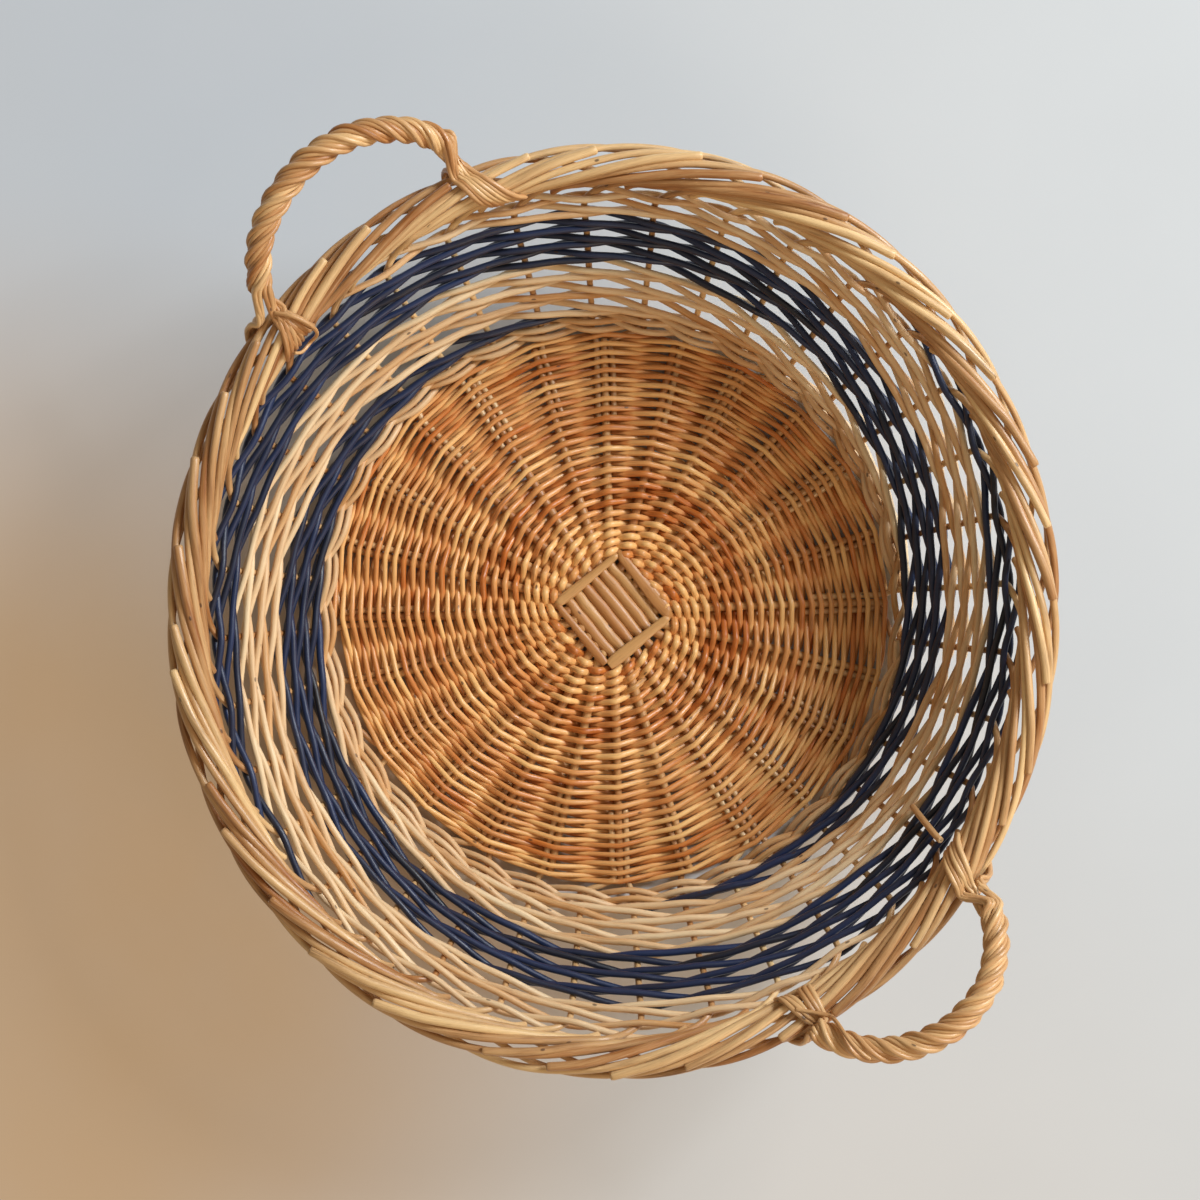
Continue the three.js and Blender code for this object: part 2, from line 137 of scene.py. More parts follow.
def stations(point, facing, wide, thick):
    """Joins points, facings, widths and thicknesses into the eight columns of a rod."""
    shape = np.shape(point)[:-1]
    columns = [
        np.broadcast_to(point, shape + (3,)),
        np.broadcast_to(facing, shape + (3,)),
        np.broadcast_to(wide, shape)[..., None],
        np.broadcast_to(thick, shape)[..., None],
    ]
    return np.concatenate(columns, -1)


def smooth(rows, steps):
    """Carries a Catmull-Rom curve through each rod's stations, with `steps` parts in each span:
    the point at t is (2b + (c - a)t + (2a - 5b + 4c - d)t^2 + (3b - a - 3c + d)t^3) / 2."""
    ends = [2 * rows[:, :1] - rows[:, 1:2], rows, 2 * rows[:, -1:] - rows[:, -2:-1]]
    p = np.concatenate(ends, 1)[:, :, None]
    a, b, c, d = p[:, :-3], p[:, 1:-2], p[:, 2:-1], p[:, 3:]
    t = (np.arange(steps) / steps)[None, None, :, None]
    curve = 2 * b + (c - a) * t + (2 * a - 5 * b + 4 * c - d) * t**2
    curve = (curve + (3 * b - a - 3 * c + d) * t**3) / 2
    curve = curve.reshape(len(rows), -1, rows.shape[2])
    return np.concatenate([curve, rows[:, -1:]], 1)


def waver(rows, size, waves=3.0):
    """Bends each rod a little, as grown rods are, and varies its thickness: each is a sum of
    four sine waves along the rod with phases of its own, the k-th wave 1/k as high."""
    rods, count = rows.shape[:2]
    thickness_share = 0.022
    along = np.linspace(0, 1, count)
    waved = rows.copy()
    for k in range(1, 5):
        phase = chance.uniform(0, 2 * np.pi, (rods, 1, 4))
        wave = np.sin(2 * np.pi * waves * k * along[None, :, None] + phase) / k
        waved[..., :3] += size * wave[..., :3]
        waved[..., 6:] *= 1 + thickness_share * wave[..., 3:]
    return waved


def tube(rows, sides=10, tint=None):
    """A closed tube round each rod. A ring's point is the path plus wide / 2 cos a across the
    rod plus thick / 2 sin a along its facing, and the last ring at each end is drawn in."""
    ring_before_end = 0.3
    drawn_in = 0.82
    ends = rows[:, [0, -1]]
    near = ends + ring_before_end * (rows[:, [1, -2]] - ends)
    near[..., 6:] = ends[..., 6:]
    drawn = ends.copy()
    drawn[..., 6:] *= drawn_in
    rows = np.concatenate(
        [drawn[:, :1], near[:, :1], rows[:, 1:-1], near[:, 1:], drawn[:, 1:]], 1
    )
    path = rows[..., :3]
    along = np.gradient(path, axis=1)
    along /= np.linalg.norm(along, axis=-1, keepdims=True)
    over = rows[..., 3:6] - along * np.sum(along * rows[..., 3:6], -1, keepdims=True)
    over /= np.linalg.norm(over, axis=-1, keepdims=True)
    across = np.cross(over, along)
    turn = 2 * np.pi * (np.arange(sides) + 0.5) / sides
    flat = (rows[..., 6:7] / 2 * np.cos(turn))[..., None] * across[:, :, None]
    high = (rows[..., 7:8] / 2 * np.sin(turn))[..., None] * over[:, :, None]
    step = np.linalg.norm(np.diff(path, axis=1), axis=-1)
    length = np.concatenate([np.zeros((len(rows), 1)), np.cumsum(step, 1)], 1)
    if tint is None:
        tint = chance.uniform(0, 1, (len(rows), 1, 2))
    else:
        tint = np.concatenate([tint[:, :1], tint, tint[:, -1:]], 1)
    tint = np.broadcast_to(tint, rows.shape[:2] + (2,))
    share = (length / length[:, -1:])[..., None]
    return {
        "points": path[:, :, None] + flat + high,
        "length": length,
        "girth": np.pi * (rows[..., 6] + rows[..., 7]) / 2,
        "tint": np.concatenate([tint, share], -1),
    }


def part_of(bundle, start, count=1):
    """The tubes of `count` of a bundle's rods, from `start` on."""
    return {key: value[start : start + count] for key, value in bundle.items()}


def bundle_faces(bundle, start):
    """The faces of a bundle whose first point has the number `start`: quads between its rings,
    and then a flat face at each rod's start and end. It gives the faces' corners, their sizes,
    their material numbers and each corner's UV, which is in millimetres along and round the
    rod, or across a cut end."""
    rods, count, sides = bundle["points"].shape[:3]
    index = start + np.arange(rods * count * sides).reshape(rods, count, sides)
    after = np.roll(index, -1, 2)
    quads = np.stack([index[:, :-1], after[:, :-1], after[:, 1:], index[:, 1:]], -1)
    caps = np.concatenate([index[:, 0, ::-1], index[:, -1]])
    corners = [quads.reshape(-1), caps.reshape(-1)]
    quad_count = quads.size // 4
    sizes = [np.full(quad_count, 4), np.full(len(caps), sides)]
    kinds = [np.zeros(quad_count, int), np.ones(len(caps), int)]
    u = np.broadcast_to(bundle["length"][..., None], index.shape)
    around = np.arange(sides) / sides
    low = bundle["girth"][..., None] * around
    high = bundle["girth"][..., None] * (around + 1 / sides)
    quad_u = np.stack([u[:, :-1], u[:, :-1], u[:, 1:], u[:, 1:]], -1)
    quad_v = np.stack([low[:, :-1], high[:, :-1], high[:, 1:], low[:, 1:]], -1)
    turn = 2 * np.pi * around
    disc = np.stack([np.cos(turn), np.sin(turn)], -1) * (sides / 8)
    uvs = [np.stack([quad_u.reshape(-1), quad_v.reshape(-1)], -1), np.tile(disc, (len(caps), 1))]
    return corners, sizes, kinds, uvs


def add_piece(name, bundles, materials, nodes):
    """Puts bundles of tubes into one mesh, which stands for the nodes. The first material is
    the rods' and the second is that of their cut ends. The Tint attribute holds the rod's two
    random numbers and the share of its length."""
    corners, sizes, kinds, uvs = [], [], [], []
    start = 0
    for bundle in bundles:
        for whole, part in zip((corners, sizes, kinds, uvs), bundle_faces(bundle, start)):
            whole += part
        start += bundle["points"][..., 0].size
    points = np.concatenate([bundle["points"].reshape(-1, 3) for bundle in bundles])
    tints = np.concatenate(
        [np.repeat(b["tint"].reshape(-1, 3), b["points"].shape[2], 0) for b in bundles]
    )
    colours = np.concatenate([tints, np.ones((len(points), 1))], 1)
    corners = np.concatenate(corners).astype(np.int32)
    sizes = np.concatenate(sizes).astype(np.int32)
    kinds = np.concatenate(kinds).astype(np.int32)
    uvs = (np.concatenate(uvs) * METRE).astype(np.float32)

    mesh = bpy.data.meshes.new(name)
    mesh.vertices.add(len(points))
    mesh.vertices.foreach_set("co", (points * METRE).astype(np.float32).ravel())
    mesh.loops.add(len(corners))
    mesh.loops.foreach_set("vertex_index", corners)
    mesh.polygons.add(len(sizes))
    mesh.polygons.foreach_set("loop_start", (np.cumsum(sizes) - sizes).astype(np.int32))
    mesh.polygons.foreach_set("material_index", kinds)
    mesh.polygons.foreach_set("use_smooth", kinds == 0)
    mesh.update(calc_edges=True)
    mesh.uv_layers.new(name="Rod").data.foreach_set("uv", uvs.ravel())
    tint = mesh.color_attributes.new("Tint", "FLOAT_COLOR", "POINT")
    tint.data.foreach_set("color", colours.astype(np.float32).ravel())
    mesh.validate()
    for material in materials:
        mesh.materials.append(material)
    piece = bpy.data.objects.new(name, mesh)
    bpy.context.scene.collection.objects.link(piece)
    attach(piece, "root")
    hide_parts(*nodes)


def linear(red, green, blue):
    """A colour written as screen values from 0 to 255, as light."""
    screen = np.array([red, green, blue]) / 255
    light = np.where(screen <= 0.04045, screen / 12.92, ((screen + 0.055) / 1.055) ** 2.4)
    return (*light, 1.0)


class Nodes:
    """A material's node tree, with short words for adding nodes and joining them."""

    def __init__(self, name):
        self.material = bpy.data.materials.new(name)
        self.material.use_nodes = True
        self.tree = self.material.node_tree
        self.shader = self.tree.nodes["Principled BSDF"]

    def add(self, kind, settings=None, **inputs):
        """A new node with its settings, and its inputs fed by name, `_` standing for a space."""
        node = self.tree.nodes.new(kind)
        for key, value in (settings or {}).items():
            setattr(node, key, value)
        for key, value in inputs.items():
            self.feed(node.inputs[key.replace("_", " ")], value)
        return node

    def feed(self, socket, value):
        """Joins a socket to another one, or sets its value."""
        if isinstance(value, bpy.types.NodeSocket):
            self.tree.links.new(value, socket)
        else:
            socket.default_value = value

    def math(self, what, *values):
        """The result of one step of arithmetic on up to three values."""
        node = self.add("ShaderNodeMath", {"operation": what})
        for socket, value in zip(node.inputs, values):
            self.feed(socket, value)
        return node.outputs[0]

    def vector_math(self, what, *values):
        """A node that works with vectors."""
        node = self.add("ShaderNodeVectorMath", {"operation": what})
        for socket, value in zip(node.inputs, values):
            self.feed(socket, value)
        return node

    def span(self, value, low, high, to_low=0.0, to_high=1.0):
        """Takes a value from low..high to to_low..to_high, with soft ends."""
        node = self.add("ShaderNodeMapRange", {"interpolation_type": "SMOOTHSTEP"})
        for key, number in (("Value", value), ("From Min", low), ("From Max", high)):
            self.feed(node.inputs[key], number)
        node.inputs["To Min"].default_value = to_low
        node.inputs["To Max"].default_value = to_high
        return node.outputs["Result"]

    def mix(self, share, a, b):
        """The colour that goes from a to b as the share goes from 0 to 1."""
        node = self.add("ShaderNodeMix", {"data_type": "RGBA"})
        self.feed(node.inputs[0], share)
        self.feed(node.inputs[6], a)
        self.feed(node.inputs[7], b)
        return node.outputs[2]

    def noise(self, vector, scale, detail, rough=0.5):
        """A noise pattern's value."""
        inputs = {"Vector": vector, "Scale": scale, "Detail": detail, "Roughness": rough}
        return self.add("ShaderNodeTexNoise", **inputs).outputs["Fac"]

    def bump(self, height, strength, distance):
        """Raises the surface by a height, at most by the distance in metres."""
        node = self.add("ShaderNodeBump", Strength=strength, Distance=distance, Height=height)
        self.feed(self.shader.inputs["Normal"], node.outputs["Normal"])


KNOT_COLOUR = (62, 34, 20)
PITH_COLOUR = (120, 78, 44)


def willow(name, pale, tan, shade, rough=0.5, worn=None):
    """Peeled willow, or dyed willow if `worn` gives the colour under the dye. Each rod has its
    own tone from pale to tan, fine streaks run along it, darker bark marks and knots spot it,
    and the streaks raise it a little."""
    n = Nodes(name)
    pale, tan, shade = linear(*pale), linear(*tan), linear(*shade)
    tint = n.add("ShaderNodeAttribute", {"attribute_name": "Tint"})
    rod = n.add("ShaderNodeSeparateColor", Color=tint.outputs["Color"]).outputs
    rod_uv = n.add("ShaderNodeUVMap", {"uv_map": "Rod"}).outputs["UV"]
    own = n.add("ShaderNodeCombineXYZ", X=rod["Green"], Y=rod["Red"], Z=rod["Green"]).outputs[0]
    rod_uv = n.vector_math("MULTIPLY_ADD", own, (3.1, 0.0, 9.0), rod_uv).outputs[0]

    def pattern(along, across):
        """The rod's UV map, stretched so that a noise has this many spots in a metre."""
        return n.vector_math("MULTIPLY", rod_uv, (along, across, 1.0)).outputs[0]

    streaks = n.noise(pattern(55, 1500), 1.0, 5.0, 0.6)
    blotches = n.noise(pattern(22, 130), 1.0, 3.0, 0.55)
    fibres = n.noise(pattern(160, 4200), 1.0, 3.0)
    in_plane = {"voronoi_dimensions": "2D"}
    spots = n.add("ShaderNodeTexVoronoi", in_plane, Vector=pattern(31, 62), Scale=1.0)

    # The rod's own tone, with its streaks and its blotches, takes it from pale to tan.
    tone = n.math("MULTIPLY_ADD", streaks, 0.75, -0.33)
    tone = n.math("ADD", tone, n.math("MULTIPLY", rod["Red"], 0.75))
    tone = n.math("ADD", tone, n.span(blotches, 0.35, 0.7, -0.12, 0.18))
    tone = n.math("MAXIMUM", n.math("MINIMUM", tone, 1.0), 0.0)
    colour = n.mix(tone, pale, tan)

    # Bark marks, dark fibres, rubbed dye and knots.
    marks = n.math("MULTIPLY", n.span(blotches, 0.56, 0.76, 0.0, 0.6), n.span(streaks, 0.35, 0.6))
    colour = n.mix(marks, colour, shade)
    colour = n.mix(n.span(fibres, 0.56, 0.72, 0.0, 0.35), colour, shade)
    if worn:
        rubbed = n.math("MULTIPLY", n.span(streaks, 0.6, 0.74), n.span(blotches, 0.5, 0.62))
        colour = n.mix(n.math("MULTIPLY", rubbed, 0.5), colour, linear(*worn))
    knot = n.span(spots.outputs["Distance"], 0.022, 0.042, 1.0, 0.0)
    knot = n.math("MULTIPLY", knot, n.span(blotches, 0.5, 0.54))
    colour = n.mix(n.math("MULTIPLY", knot, 0.75), colour, linear(*KNOT_COLOUR))
    n.feed(n.shader.inputs["Base Color"], colour)
    n.feed(n.shader.inputs["Roughness"], n.span(streaks, 0.3, 0.7, rough - 0.07, rough + 0.1))
    n.shader.inputs["Specular IOR Level"].default_value = 0.6
    n.shader.inputs["Sheen Weight"].default_value = 0.06

    ridges = n.math("ADD", streaks, n.math("MULTIPLY", fibres, 0.5))
    ridges = n.math("ADD", ridges, n.math("MULTIPLY", knot, 0.8))
    n.bump(ridges, 0.5, 0.00022)
    return n.material


def cut_wood(name, wood, dark):
    """A cut end: wood with darker grain, a darker rim and a small pith, as rings round the middle
    of the UV map."""
    n = Nodes(name)
    wood, dark = linear(*wood), linear(*dark)
    rod_uv = n.add("ShaderNodeUVMap", {"uv_map": "Rod"}).outputs["UV"]
    reach = n.vector_math("LENGTH", rod_uv).outputs["Value"]
    grain = n.noise(rod_uv, 2600.0, 4.0, 0.6)
    colour = n.mix(n.span(grain, 0.35, 0.7), wood, dark)
    colour = n.mix(n.span(reach, 0.0002, 0.0004, 1.0, 0.0), colour, linear(*PITH_COLOUR))
    colour = n.mix(n.span(reach, 0.00085, 0.0012, 0.0, 0.7), colour, dark)
    n.feed(n.shader.inputs["Base Color"], colour)
    n.shader.inputs["Roughness"].default_value = 0.75
    n.bump(grain, 0.4, 0.0002)
    return n.material


CREAM = willow("peeled willow", (240, 214, 172), (204, 148, 84), (140, 82, 36))
BASE = willow("base willow", (244, 192, 122), (194, 101, 20), (88, 42, 8), 0.37)
STICKS = willow("stick willow", (208, 160, 100), (172, 108, 50), (98, 54, 22), 0.42)
BORDER = willow("border willow", (238, 202, 146), (156, 92, 34), (80, 42, 12), 0.38)
GRIP = willow("handle willow", (234, 194, 138), (176, 112, 54), (84, 46, 18), 0.38)
NAVY = willow("navy willow", (25, 44, 84), (15, 14, 17), (13, 9, 9), 0.44, (100, 76, 66))
CUT = cut_wood("cut willow", (226, 196, 150), (196, 156, 106))
CUT_NAVY = cut_wood("cut navy willow", (150, 128, 104), (46, 44, 66))


def lane(index):
    """A stick's place in its set, counted from the middle of the set."""
    return index - (STICKS_PER_SET - 1) / 2


def in_heading(heading, forward, sideways, height):
    """A point given forwards and sideways of a heading."""
    heading = np.radians(heading)
    heading, forward, sideways, height = np.broadcast_arrays(heading, forward, sideways, height)
    x = forward * np.cos(heading) - sideways * np.sin(heading)
    y = forward * np.sin(heading) + sideways * np.cos(heading)
    return np.stack([x, y, height], -1)


# Sticks: the pierced ones are broad and whole in the slath, and the others go through them.
# A section is a width and a thickness.
STICK_TAPER = np.array([0.8, 0.86, 0.93, 1.0])
SPOKE_SHARES = np.array([1.0, 0.7, 0.4, 0.14])
SLATH_STATIONS = [-KNEE_REACH, -9, 0, 9, KNEE_REACH]
KNEE_SECTION = (4.6, 4.3)
PIERCED_SECTION = (5.72, 4.5)
THROUGH_SECTION = (4.6, 1.1)


def sticks(heading, section):
    """Six sticks on a heading. Each runs from -reach to reach: straight between its knees, then
    fanned out by its lane times the spoke step."""
    lanes = lane(np.arange(STICKS_PER_SET))[:, None]
    fan = np.radians(lanes * SPOKE_STEP)
    out = KNEE_REACH + SPOKE_SHARES * (STICK_REACH * np.cos(fan) - KNEE_REACH)
    slath_side = lanes * STICK_PITCH
    side = slath_side + SPOKE_SHARES * (STICK_REACH * np.sin(fan) - slath_side)
    forward = np.concatenate([-out, [SLATH_STATIONS] * STICKS_PER_SET, out[:, ::-1]], 1)
    sideways = np.concatenate([side, slath_side * np.ones((1, 5)), side[:, ::-1]], 1)
    ends = STICK * STICK_TAPER
    wide, thick = (
        np.concatenate([ends, [knee, inside, inside, inside, knee], ends[::-1]])
        for knee, inside in zip(KNEE_SECTION, section)
    )
    points = in_heading(heading, forward, sideways, MIDDLE_HEIGHT)
    rows = stations(points, UP, wide, thick)
    return tube(waver(smooth(rows, 8), 0.09), 14)


stick_sets = {
    "pierced": sticks(SLATH_TURN, PIERCED_SECTION),
    "through": sticks(SLATH_TURN + 90, THROUGH_SECTION),
}
for kind, bundle in stick_sets.items():
    for number in range(STICKS_PER_SET):
        add_piece(
            f"base_stick_{kind}_{number + 1}",
            [part_of(bundle, number)],
            [STICKS, CUT],
            [f"{kind}_stick_{number + 1}"],
        )


# Ties: each goes over two bundles of sticks and under two, and turns down at the corners. Each
# side of the slath has its own width for the stroke over the sticks, and its own pointed end.
# A stroke's stations are a place along it, a lift and a share of its width.
TIE_WIDTHS = (6.0, 6.4, 4.9, 4.5)
TIE_POINTED = (1, 1, -1, -1)
TIE_CORNERS = {1: 18.4, 2: 20.2}
TIE_NEAR = 16.1
TIE_OVER = 3.15
TIE_UNDER = -3.1
TIE_UNDER_WIDTH = 4.2
TIE_CORNER_WIDTH = 2.2
TIE_THICK = 1.9
TIE_STROKE = (
    (-17.6, 0, 0.72),
    (-13.6, 0.12, 0.95),
    (-6, 0.2, 1),
    (6, 0.2, 1),
    (13.6, 0.12, 0.95),
    (17.6, 0, 0.72),
)


def slath_tie(number):
    """One tie round the slath. On each side it lies at a fixed distance, over or under the
    sticks, broad and flat, and it narrows to a point at one end of each stroke."""
    corner = TIE_CORNERS[number]
    rows = []
    for quarter in range(4):
        heading = SLATH_TURN + 90 * quarter
        over = (quarter + number) % 2 == 1
        level = TIE_OVER if over else TIE_UNDER
        wide = TIE_WIDTHS[quarter] if over else TIE_UNDER_WIDTH
        for swing, lift, share in TIE_STROKE:
            share = share * (0.78 if swing * TIE_POINTED[quarter] > 0 else 1.1)
            height = MIDDLE_HEIGHT + level + (lift if over else -lift)
            width = wide * min(share, 1.02)
            rows.append((heading, TIE_NEAR + wide / 2, swing, height, width, TIE_THICK))
        if quarter < 3:
            at_corner = (heading, corner, corner, MIDDLE_HEIGHT, TIE_CORNER_WIDTH, TIE_THICK)
            rows.append(at_corner)
    heading, forward, sideways, height, wide, thick = np.array(rows).T
    points = in_heading(heading, forward, sideways, height)
    return tube(smooth(stations(points, UP, wide, thick)[None], 6), 12)


for number in TIE_CORNERS:
    add_piece(
        f"tie_{number}",
        [slath_tie(number)],
        [STICKS, CUT],
        [f"slath_tie_{number}"],
    )


# Pairing: two strands change places between the spokes, from the slath to the foot. The pitch
# between rounds falls from the first radius to the last. After ROD_SPOKES spokes the next rod
# takes over, with a tone and a thickness of its own, and in the second strand ROD_LAG spokes
# sooner. The first rounds are thicker, and squarer, as they go round the slath. The strand is
# PAIR_WIDTH of the pitch wide, and each stroke has a tone and a place a little of its own.
PAIR_PITCH = (5.7, 4.0)
PAIR_RADII = (22.0, 133.2)
PAIR_TURNS = 22.5
PAIR_STATIONS = 11
PAIR_WIDTH = 0.56
PAIR_FLATNESS = 0.88
STROKE_TONE = 0.34
STROKE_SHIFT = 0.12
ROD_SPOKES = 58
ROD_LAG = 31
FIRST_ROUNDS = 18
FIRST_ROUNDS_OUT = 4.4
STRAIGHTNESS = 0.85


def spoke_shift(radius):
    """How far each of the six spokes of a side lies from its even place, at a radius. A spoke is
    the line from its knee to its far end, cut by the circle of that radius."""
    lanes = lane(np.arange(STICKS_PER_SET))
    fan = np.radians(lanes * SPOKE_STEP)
    knee = np.stack([np.full(STICKS_PER_SET, KNEE_REACH), lanes * STICK_PITCH], -1)
    run = np.stack([STICK_REACH * np.cos(fan), STICK_REACH * np.sin(fan)], -1) - knee
    a = np.sum(run * run, -1)
    b = np.sum(run * knee, -1)
    c = np.sum(knee * knee, -1) - radius[:, None] ** 2
    reach = (-b + np.sqrt(np.maximum(b * b - a * c, 0))) / a
    x = knee[:, 0] + reach * run[:, 0]
    y = knee[:, 1] + reach * run[:, 1]
    return np.degrees(np.arctan2(y, x)) - lanes * SPOKE_STEP


def pairing(strand):
    """A strand of the pairing as a spiral. Its pitch falls evenly with the radius, so the radius
    is limit - (limit - inner) exp(-rate t) after t turns. With u as pi times the spokes passed
    since a stroke over a spoke, its height is that of the sticks times 0.9 cos u + 0.1 cos 3u.
    It leans inwards in proportion to u, swings back under the next spoke, and runs nearly
    straight from one spoke to the next, where it bends."""
    inner, outer = PAIR_RADII
    rate = (PAIR_PITCH[0] - PAIR_PITCH[1]) / (outer - inner)
    limit = inner + PAIR_PITCH[0] / rate
    steps = int(PAIR_TURNS * SPOKES * PAIR_STATIONS)
    turn = np.arange(steps + 1) / (SPOKES * PAIR_STATIONS)
    radius = limit - (limit - inner) * np.exp(-rate * turn)
    pitch = (limit - radius) * rate

    spoke = 360 * turn / SPOKE_STEP
    low = np.floor(spoke).astype(int)
    part = spoke - low
    shift = spoke_shift(radius)
    here = np.arange(len(spoke))
    angle = FIRST_SPOKE + SPOKE_STEP * spoke
    angle = angle + shift[here, low % 6] * (1 - part) + shift[here, (low + 1) % 6] * part

    cycle = (spoke + strand + 1) % 2 - 1
    u = np.pi * cycle
    first = np.clip(1 - (radius - inner) / FIRST_ROUNDS, 0, 1)
    wide = pitch * (PAIR_WIDTH + 0.03 * np.cos(u)) * (1 + 0.2 * first)
    stick = STICK / 2 * np.interp(radius, [20, STICK_REACH], [1, STICK_TAPER[0]])
    rise = np.minimum(stick + 0.42 * wide, MIDDLE_HEIGHT - 0.46 * wide)
    rod = np.floor((spoke + ROD_LAG * strand) / ROD_SPOKES).astype(int)
    swell = chance.uniform(0.93, 1.07, rod.max() + 1)[rod]
    lean = -0.5 * pitch * cycle * (1 - cycle**8)
    corner = (1 - np.cos(np.radians(4 * (angle - SLATH_TURN)))) / 2
    square = FIRST_ROUNDS_OUT * first * corner
    half = np.radians(SPOKE_STEP / 2)
    chord = 1 - STRAIGHTNESS * (1 - np.cos(half) / np.cos((2 * part - 1) * half))
    radius = (radius + square) * chord + lean
    height = MIDDLE_HEIGHT + rise * (0.9 * np.cos(u) + 0.1 * np.cos(3 * u))
    x = radius * np.cos(np.radians(angle))
    y = radius * np.sin(np.radians(angle))
    point = np.stack([x, y, height], -1)

    stroke = np.floor(spoke + strand + 0.5).astype(int)
    strokes = stroke.max() + 1
    tone = chance.uniform(0, 1, (rod.max() + 1, 2))[rod]
    each = chance.uniform(-STROKE_TONE, STROKE_TONE, strokes)[stroke]
    moved = chance.uniform(-STROKE_SHIFT, STROKE_SHIFT, (strokes, 2))[stroke]
    point[:, 2] += moved[:, 0] * np.cos(u)
    point[:, :2] *= (1 + moved[:, 1] * np.abs(np.cos(u)) * 1.6 / radius)[:, None]
    tone[:, 0] = np.clip(tone[:, 0] + each, 0, 1)
    rows = stations(point, UP, wide * swell, PAIR_FLATNESS * wide * swell)[None]
    return tube(rows, 8, tone[None])


strands = [pairing(0), pairing(1)]
add_piece("base_pairing", strands, [BASE, CUT], ["base_weave"])


# Stakes: a leg beside a base stick, up the wall, over the border and back under it. The wall's
# stations are counted down from the rim, and the border's are how far round the rod has run.
LEG_END = 88
LEG_END_VARIES = 7
LEG_RADII = (104, 118, 126.5)
LEG_ASIDE = 3.55
FOOT_BEND = (133.2, 5.4)
STAKE_BELOW_RIM = (WALL_LENGTH - 4, 70, 50, 30, 12)
STAKE_TURNING = ((7.0, 0.8), (3.0, 2.4))
STAKE_TRAVELS = (4.8, 7.5, 10.5, 14, 18, 22, 26, 30, 34, 38, 42, 46, 50, 55, 60)
STAKE_DRIFT = 1.5
CUT_TRAVELS = (2.2, 5, 9, 13, 17, 21, 24.5)
CUT_DRIFT = 1.6
LAST_CUT_TRAVEL = 28.5
LAST_CUT_VARIES = 2.2

# Past the mound's end: the travel, how far out of the rim the rod lies, and how high over it.
DOWN_TRAVEL = (40, 43, 46, 50, 55, 60)
DOWN_OUT = (14.8, 14.4, 12.6, 8.6, 3.6, 0.6)
DOWN_UP = (4.0, 1.4, 0.0, -0.8, -0.9, -0.6)


def beside_stick(index):
    """The direction and the side of the stick that a stake goes in beside: two and one in turn."""
    member = index % 3
    double = SLATH_TURN + 3.5 * SPOKE_STEP + 2 * SPOKE_STEP * (index // 3)
    return double + SPOKE_STEP * member, np.where(member == 0, 1, -1)


def border_point(angle, travel):
    """A point of the border's path, and the way it faces. `travel` is how many degrees the rod
    has run clockwise. It goes over the mound as half an ellipse, and past that down the outside
    and back under."""
    turn = np.pi * np.clip((travel - MOUND_START) / (MOUND_END - MOUND_START), 0, 1)
    if travel > MOUND_END:
        out = np.interp(travel, DOWN_TRAVEL, DOWN_OUT)
        up = np.interp(travel, DOWN_TRAVEL, DOWN_UP)
    else:
        out = MOUND_HALF * (1 - np.cos(turn)) - MOUND_BACK
        up = MOUND_LIFT + MOUND_RISE * np.sin(turn)
    facing = direction(angle - travel, -np.cos(turn), np.maximum(np.sin(turn), 0.05))
    return place(angle - travel, RIM_RADIUS + out, RIM_HEIGHT + up), facing


def stake_rows(index):
    """The stations of a stake, from the inner end of its leg to its end under the border."""
    spoke, side = beside_stick(index)
    angle = FIRST_STAKE + STAKE_STEP * index
    inner = LEG_END + LEG_END_VARIES * chance.random()
    rows = []
    for radius in (inner, *LEG_RADII):
        swing = np.degrees(np.arcsin(side * LEG_ASIDE / radius))
        rows.append((place(spoke + swing, radius, 0) + UP * MIDDLE_HEIGHT, UP, STAKE, STAKE))
    bend = place(angle, FOOT_BEND[0], 0) + UP * FOOT_BEND[1]
    rows.append((bend, direction(angle, -0.5, 1), STAKE, STAKE))
    for below in STAKE_BELOW_RIM:
        point = wall_point(angle, WALL_LENGTH - below, 0)
        rows.append((point, wall_normal(angle), STAKE, STAKE))
    for below, travel in STAKE_TURNING:
        point = wall_point(angle - travel, WALL_LENGTH - below, 0)
        rows.append((point, wall_normal(angle - travel), STAKE, STAKE))
    grown = chance.uniform(0.88, 1.1)
    drift = chance.uniform(-STAKE_DRIFT, STAKE_DRIFT)
    sizes = [3.2, BORDER_ROD, BORDER_ROD - 0.2, 2.8]
    for travel in STAKE_TRAVELS:
        point, facing = border_point(angle + drift * min(travel / 14, 1), travel)
        size = np.interp(travel, [2, 7, 40, 60], sizes) * grown
        rows.append((point, facing, size, size * 0.94))
    return np.stack([stations(*row) for row in rows])


def cut_rod_rows(index):
    """The stations of the cut rod beside a stake's border stroke. Its cut end lies up on the
    rods that come after it."""
    angle = FIRST_STAKE + STAKE_STEP * (index - 0.5) + chance.uniform(-CUT_DRIFT, CUT_DRIFT)
    last = LAST_CUT_TRAVEL + chance.uniform(-LAST_CUT_VARIES, LAST_CUT_VARIES)
    grown = chance.uniform(0.88, 1.14)
    start = place(angle - 0.5, RIM_RADIUS - 1.4, RIM_HEIGHT - 2.2)
    rows = [(start, wall_normal(angle), 3.0, 3.0)]
    for travel in (*CUT_TRAVELS, last):
        point, facing = border_point(angle, travel)
        size = np.interp(travel, [2, 6], [3.2, BORDER_ROD + 0.1]) * grown
        lift = np.interp(travel, [9, 21, 29], [0.0, 1.5, 2.1])
        rows.append((point + facing * lift, facing, size, size * 0.97))
    return np.stack([stations(*row) for row in rows])


